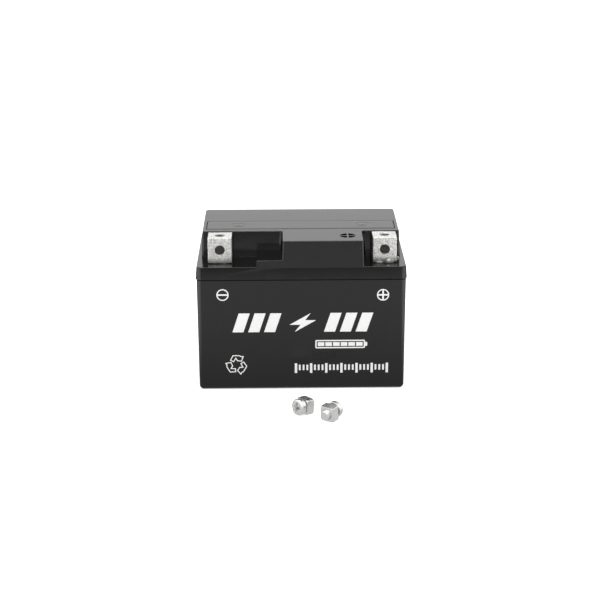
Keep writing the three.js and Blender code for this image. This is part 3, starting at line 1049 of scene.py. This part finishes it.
def terminal(name, low, high, domes):
    """Cast loop, open at its sides, with a hole in its front and top, and domes of solder at its foot."""
    middle = (low + high) / 2
    half_depth, half_height, length = (high.y - low.y) / 2, (high.z - deck_z) / 2, high.x - low.x
    # the loop is built on end, with its length upright, and then laid along X
    lying = at(low.x, middle.y, deck_z + half_height) @ Matrix.Rotation(math.pi / 2, 4, "Y")
    across, deep = (-half_height, half_height), (-half_depth, half_depth)
    loop = placed(prism(name, across, deep, (0, length), lug_edge, lug_end_edge), lying)
    slot_height = (-half_height + lug_wall, half_height - lug_base - (low.z - deck_z))
    slot_depth = (-half_depth + lug_wall, half_depth - lug_rear_wall)
    slot = prism("slot", slot_height, slot_depth, (-past, length + past), lug_edge / 2)
    combined(loop, placed(slot, lying), "DIFFERENCE")
    top_hole, front_hole = (middle.x, middle.y, high.z), (middle.x, low.y, high.z - lug_hole_drop)
    for place, turn in ((top_hole, 0), (front_hole, math.pi / 2)):
        hole = rod("hole", lug_hole / 2, (-lug_hole_reach, 2 * past), lug_hole_steps)
        combined(loop, placed(hole, at(*place) @ Matrix.Rotation(turn, 4, "X")), "DIFFERENCE")
    solder = [dome(middle.x + x, low.y + y, width, rise) for x, y, width, rise in domes]
    return cast_skin(gathered(name, [loop, *solder]), low, high)


def terminals():
    """The two lugs; each dome has its place from the middle of the lug's front, its width and its height."""
    domes = [(2.5 * mm, 1.6 * mm, 4 * mm, 1.1 * mm)]
    left = terminal("terminal_lug_negative", negative_low, negative_high, domes)
    fitted(left, terminal_lead, "battery", "terminal_lead", "terminal_negative")
    domes = [(2.6 * mm, 1.2 * mm, 5.6 * mm, 2.6 * mm), (-2.8 * mm, 1.2 * mm, 5.0 * mm, 1.3 * mm)]
    right = terminal("terminal_lug_positive", positive_low, positive_high, domes)
    fitted(right, terminal_lead, "battery", "terminal_lead", "terminal_positive")


def sealant_bead():
    """A clear bead of sealant that climbs the outer side of the positive lug's foot."""
    start = Vector((positive_high.x, positive_low.y, deck_z)) + Vector(bead_start)
    thin, thick = bead_radius
    shell = Shell()
    rings = []
    for i in range(bead_steps + 1):
        share = i / bead_steps
        wave = bead_wave * math.sin(bead_bend * share)
        centre = start + Vector((wave, bead_length * share, bead_rise * (1 - share)))
        radius = thin + (thick - thin) * math.sin(math.pi * share) ** bead_fullness
        section = circle((0, 0), radius, bead_round_steps)
        rings.append(shell.ring([centre + Vector((point.x, 0, point.y * bead_height)) for point in section]))
    shell.close(rings)
    piece = smoothed(shell.finish("sealant_bead"), 60)
    return fitted(piece, sealant, "battery", "seal_resin")


# ---- loose screws and nuts


def turned_point(x, radius, share):
    angle = 2 * math.pi * share
    return Vector((x, radius * math.cos(angle), radius * math.sin(angle)))


def nut_profile(share):
    """The (x, radius) points of the nut's section, from bore to bore, at that share of a turn."""
    half, thick = nut_width / 2, nut_thickness / 2
    bore = thread_major / 2 + thread_gap
    cone = half * nut_cone
    angle = 2 * math.pi * share
    spread = abs(math.cos(angle)) ** nut_squareness + abs(math.sin(angle)) ** nut_squareness
    flat = half / spread ** (1 / nut_squareness)
    points = [(thick - nut_countersink, bore), (thick, bore + nut_countersink)]
    points.append((thick, min(flat, cone) - nut_face_edge))
    for i in range(nut_cone_steps + 1):
        drop = nut_cone_depth * i / nut_cone_steps
        points.append((thick - nut_cone_start - drop, min(flat, cone + nut_cone_slope * drop)))
    return [(-x, radius) for x, radius in points] + points[::-1]


def square_nut(name):
    """Square nut along X with cone-cut corners and a countersunk hole; its middle is at the origin."""
    shell = Shell()
    columns = []
    for i in range(nut_steps):
        share = i / nut_steps
        columns.append(shell.ring([turned_point(x, radius, share) for x, radius in nut_profile(share)]))
    shell.loft(columns + columns[:1])
    return smoothed(shell.finish(name), 28)


def thread_radius(x, tip, share):
    """The thread's radius at a place along the screw and round it; the thread starts small at the tip."""
    taper = min(1.0, (x - tip) / tip_taper + tip_start)
    phase = (x / thread_pitch - share) % 1
    crest = 1 - abs(2 * phase - 1)
    depth = min(1.0, crest * thread_crest) * taper
    radius = thread_minor / 2 + (thread_major - thread_minor) / 2 * depth
    return radius - (1 - taper) * tip_narrowing


def machine_screw(name, head_top):
    """Cross-head screw along X with a rolled thread; head_top is the head's end along X."""
    base = head_top - head_height
    tip = base - screw_length
    shares = [i / screw_steps for i in range(screw_steps)]
    shell = Shell()
    rings = []
    for i in range(thread_steps + 1):
        x = tip + screw_length * i / thread_steps
        rings.append(shell.ring([turned_point(x, thread_radius(x, tip, share), share) for share in shares]))
    radius = head_diameter / 2
    head = [(base, radius - head_foot_inset), (base + head_foot_edge, radius)]
    head += [(head_top - back, radius - inset) for inset, back in rounded(head_edge, head_edge_steps)]
    head.append((head_top, radius / 2))
    for x, size in head:
        rings.append(shell.ring([turned_point(x, size, share) for share in shares]))
    shell.close(rings)
    screw = shell.finish(name)
    for span in ((cross_span, cross_width), (cross_width, cross_span)):
        arm = Shell()
        loops = []
        for x, grow in ((head_top - cross_depth, cross_foot), (head_top + cross_over, cross_mouth)):
            y, z = (size / 2 * grow for size in span)
            loops.append(arm.ring([Vector((x, *corner)) for corner in rectangle((-y, y), (-z, z))]))
        arm.close(loops)
        combined(screw, arm.finish("arm"), "DIFFERENCE")
    return smoothed(screw, 30)


def hardware():
    """Each nut and screw lies where its CAD nodes are, along the axis of the screw's slide."""
    for where in ("left", "right"):
        low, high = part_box(f"nut_{where}")
        middle = (low + high) / 2
        joint = next(j for j in frame["joints"] if j["name"] == f"{where}_screw_draw")
        axis = Vector(joint["axis"]).normalized()
        across = Vector((0, 0, 1)).cross(axis).normalized()
        lying = Matrix((axis, across, axis.cross(across))).transposed().to_4x4()
        reach = max((v.co - middle).dot(axis) for v in frame["nodes"][f"screw_{where}"].data.vertices)
        nut = placed(square_nut(f"square_nut_{where}"), at(*middle) @ lying)
        fitted(nut, zinc_steel, f"{where}_nut", "zinc_steel", f"nut_{where}")
        screw = placed(machine_screw(f"terminal_screw_{where}", reach), at(*middle) @ lying)
        fitted(screw, zinc_steel, f"{where}_screw", "zinc_steel", f"screw_{where}")


# ---- printed marks


def flat_mark(name, *loops):
    """A thin upright sheet about the origin, facing -Y, from loops of (x, z) points.

    The first loop is its outline, and the others are holes.
    """
    shell = Shell()
    faces = []
    for y in (0, ink_thickness):
        faces.append([shell.ring([Vector((x, y, z)) for x, z in loop]) for loop in loops])
    for near, far in zip(*faces):
        shell.loft([near, far])
    for face in faces:
        shell.fill(*face)
    return shell.finish(name)


def laid_on_front(piece):
    """Moves an upright mark onto the container's drafted front."""
    for vertex in piece.data.vertices:
        vertex.co.y += lid_low.y + drafted(vertex.co.z) - ink_thickness * (1 - ink_sunk)
    piece.data.update()
    return fitted(piece, white_ink, "battery", "container_plastic")


def slanted(x, z, slant):
    """A slanted bar: its foot spans x, and it leans over by slant for each unit of height."""
    shift = slant * (z[1] - z[0])
    return [(x[0], z[0]), (x[1], z[0]), (x[1] + shift, z[1]), (x[0] + shift, z[1])]


def polarity_sign(name, middle, upright):
    """A level bar in a ring; a plus has an upright bar too."""
    x, z = middle
    half = sign_bar / 2
    reach = sign_diameter / 2 - sign_stroke
    bars = [((x - reach, x + reach), (z - half, z + half))]
    if upright:
        bars.append(((x - half, x + half), (z + half, z + reach)))
        bars.append(((x - half, x + half), (z - reach, z - half)))
    ring = flat_mark("ring", circle(middle, sign_diameter / 2), circle(middle, reach))
    laid_on_front(gathered(name, [ring] + [flat_mark("bar", rectangle(*bar)) for bar in bars]))


def band_mark():
    """A lightning bolt between two groups of slanted stripes."""
    height = band_z[1] - band_z[0]
    reach = stripe_width + (stripe_count - 1) * stripe_pitch
    parts = []
    for start in (band_x[0], band_x[1] - reach):
        stripe = flat_mark("stripe", slanted((0, stripe_width), band_z, stripe_slant))
        parts.append(row(stripe, stripe_count, white_ink, (start, 0, 0), (stripe_pitch, 0, 0)))
    middle = ((band_x[0] + band_x[1] + stripe_slant * height) / 2, (band_z[0] + band_z[1]) / 2)
    half = height / 2 / mm
    bolt = [(4.4, half), (-7.2, -1.3), (-1.2, -1.3), (-4.4, -half), (7.2, 1.3), (1.2, 1.3)]
    parts.append(flat_mark("bolt", [(middle[0] + a * mm, middle[1] + b * mm) for a, b in bolt]))
    laid_on_front(gathered("band_mark", parts))


def shortened(span, distance):
    """The span with both ends moved inwards."""
    return span[0] + distance, span[1] - distance


def charge_mark():
    """A long battery outline with filled blocks inside it."""
    border = outline(rectangle(charge_x, charge_z), [charge_stroke] * 4)
    window = rectangle(shortened(charge_x, charge_stroke), shortened(charge_z, charge_stroke))
    nose = rectangle((charge_x[1] + nose_gap, charge_x[1] + nose_length), shortened(charge_z, nose_inset))
    x, z = (shortened(span, charge_stroke + charge_gap) for span in (charge_x, charge_z))
    pitch = (x[1] - x[0] + charge_gap) / charge_count
    block = flat_mark("block", rectangle((0, pitch - charge_gap), z))
    blocks = row(block, charge_count, white_ink, (x[0], 0, 0), (pitch, 0, 0))
    parts = [flat_mark("frame", border, window), flat_mark("nose", nose), blocks]
    laid_on_front(gathered("charge_mark", parts))


def tick_scale():
    """A plain scale: short ticks, with a taller one laid over every fourth."""
    pitch = (scale_x[1] - scale_x[0] - tick_width) / (tick_count - 1)
    short = flat_mark("short", rectangle((0, tick_width), (scale_z[0] + tick_foot, scale_z[1] - tick_drop)))
    row(short, tick_count, white_ink, (scale_x[0], 0, 0), (pitch, 0, 0))
    tall = flat_mark("tall", rectangle((-tall_tick_extra, tick_width + tall_tick_extra), scale_z))
    count = (tick_count - 1) // tall_tick_every + 1
    row(tall, count, white_ink, (scale_x[0], -tall_tick_lift, 0), (tall_tick_every * pitch, 0, 0))
    laid_on_front(gathered("tick_scale", [short, tall]))


def narrowed(points, distance):
    """A counter-clockwise loop with each side moved inwards."""
    made = []
    for i, point in enumerate(points):
        here = Vector(point)
        arriving = (here - Vector(points[i - 1])).normalized()
        leaving = (Vector(points[(i + 1) % len(points)]) - here).normalized()
        along = (side(arriving) + side(leaving)).normalized()
        made.append(here + along * distance / max(along.dot(side(arriving)), 0.35))
    return made


def loop_mark():
    """Three folded arrows that chase each other round a triangle."""
    tail = [(-3.6, 2.5), (-1.6, 1.4), (-0.4, 3.3)]
    head = [(0.4, 2.0), (2.9, 1.8), (4.0, 5.0), (2.7, 4.9)]
    fold = [(1.6, 5.5), (-2.1, 5.5)]
    loop = [Vector(point) * mm for point in tail + head + fold]
    arrow = flat_mark("loop_mark", loop, narrowed(loop, arrow_stroke))
    row(arrow, 3, white_ink, (arrow_middle[0], 0, arrow_middle[1]), turn=math.radians(120))
    laid_on_front(arrow)


# ---- carried-over nodes


def inner_parts():
    """The pieces inside keep their shape and get their finishes."""
    finishes = {
        "post_seal": seal_resin,
        "post": post_lead,
        "intercell_link": post_lead,
        "positive_plates": positive_paste,
        "negative_plates": negative_paste,
        "separator": separator_mat,
    }
    for name, node in frame["nodes"].items():
        finish = next((finish for part, finish in finishes.items() if part in name), None)
        if finish:
            painted(node, finish)


# ---- stage, light and camera


def studio_floor(shader):
    """White to the camera; what the glossy faces mirror is bright close by in front and dark behind."""
    back = shader.axis("Y")
    aside = shader.node("Math", {"operation": "ABSOLUTE"}, {0: shader.axis("X")})
    # the floor glows for mirrored rays as a stand-in light: dimmer right in front of and under the battery,
    # as a painted shadow
    near = shader.ramp(back, 0.82, 0.5, -0.16, -0.04) - shader.ramp(back, 0, 0.25, -0.03, 0.1)
    near = near * shader.ramp(back, 0.15, 1, -0.55, -0.42)
    # painted highlights: a brighter glow beside the battery, which the glossy edges and corners mirror
    beside = shader.ramp(aside, 0, 1.2, 0.08, 0.16) * shader.ramp(back, 1, 0, -0.02, 0.06)
    mirrored = shader.node("Emission", {}, {"Color": rgb(1, 1, 1), "Strength": near + beside})
    white = shader.node("BsdfDiffuse", {}, {"Color": rgb(0.95, 0.95, 0.95)})
    glow = shader.node("Emission", {}, {"Color": rgb(1, 1, 1), "Strength": 0.45})
    lit = shader.node("AddShader", {}, {0: white, 1: glow})
    seen = shader.node("LightPath", output="Is Camera Ray")
    mixed = shader.node("MixShader", {}, {0: seen, 1: mirrored, 2: lit})
    shader.node("OutputMaterial", {}, {"Surface": mixed})


def floor():
    disc = Shell()
    disc.bm.faces.new(disc.ring(level(circle((0, 0), floor_radius, 96), 0)))
    painted(disc.finish("floor"), material("floor", studio_floor))


def surround():
    """An even white surround that is dark low down in front."""
    world = bpy.data.worlds.new("studio")
    bpy.context.scene.world = world
    sky = Shader(world)
    direction = sky.node("TexCoord", output="Generated")
    low = sky.ramp(sky.axis("Z", direction), 1, 0, 0.06, 0.14)
    front = sky.ramp(sky.axis("Y", direction), 1, 0, -0.9, -0.4)
    lit = sky.node("Background", {}, {"Color": rgb(1, 1, 1), "Strength": 1.13 - low * front * 1.05})
    plain = sky.node("Background", {}, {"Color": rgb(1, 1, 1), "Strength": 1.1})
    seen = sky.node("LightPath", output="Is Camera Ray")
    mixed = sky.node("MixShader", {}, {0: seen, 1: lit, 2: plain})
    sky.node("OutputWorld", {}, {"Surface": mixed})


def overhead():
    """A long strip light above and a little in front, aimed at the battery's middle."""
    lamp = bpy.data.lights.new("strip light", "AREA")
    lamp.shape = "RECTANGLE"
    lamp.size = 0.6
    lamp.size_y = 0.16
    lamp.energy = 3.0
    light = bpy.data.objects.new("strip light", lamp)
    light.location = (-0.05, -0.22, 0.8)
    aim = Vector((0, 0, 0.04)) - light.location
    light.rotation_euler = aim.to_track_quat("-Z", "Y").to_euler()
    bpy.context.scene.collection.objects.link(light)


def camera():
    pitch, yaw, roll = math.radians(18.176), math.radians(0.665), math.radians(-0.199)
    target, distance = Vector((-0.38, 0, 40.29)) * mm, 884.6 * mm
    forward = Vector((math.sin(yaw) * math.cos(pitch), math.cos(yaw) * math.cos(pitch), -math.sin(pitch)))
    right = Vector((math.cos(yaw), -math.sin(yaw), 0))
    up = right.cross(forward)
    tilted_right = right * math.cos(roll) + up * math.sin(roll)
    tilted_up = up * math.cos(roll) - right * math.sin(roll)
    turn = Matrix((tilted_right, tilted_up, -forward)).transposed().to_4x4()
    data = bpy.data.cameras.new("camera")
    data.sensor_width = 36
    data.lens = 94.14
    made = bpy.data.objects.new("camera", data)
    made.matrix_world = at(*(target - distance * forward)) @ turn
    bpy.context.scene.collection.objects.link(made)
    bpy.context.scene.camera = made


# ---- assembly

camera()
floor()
surround()
overhead()
container()
lid()
cover_strip()
vents()
valve_caps()
terminals()
sealant_bead()
hardware()
polarity_sign("minus_sign", minus_middle, upright=False)
polarity_sign("plus_sign", plus_middle, upright=True)
band_mark()
charge_mark()
tick_scale()
loop_mark()
inner_parts()

bpy.context.scene.view_settings.view_transform = "Standard"
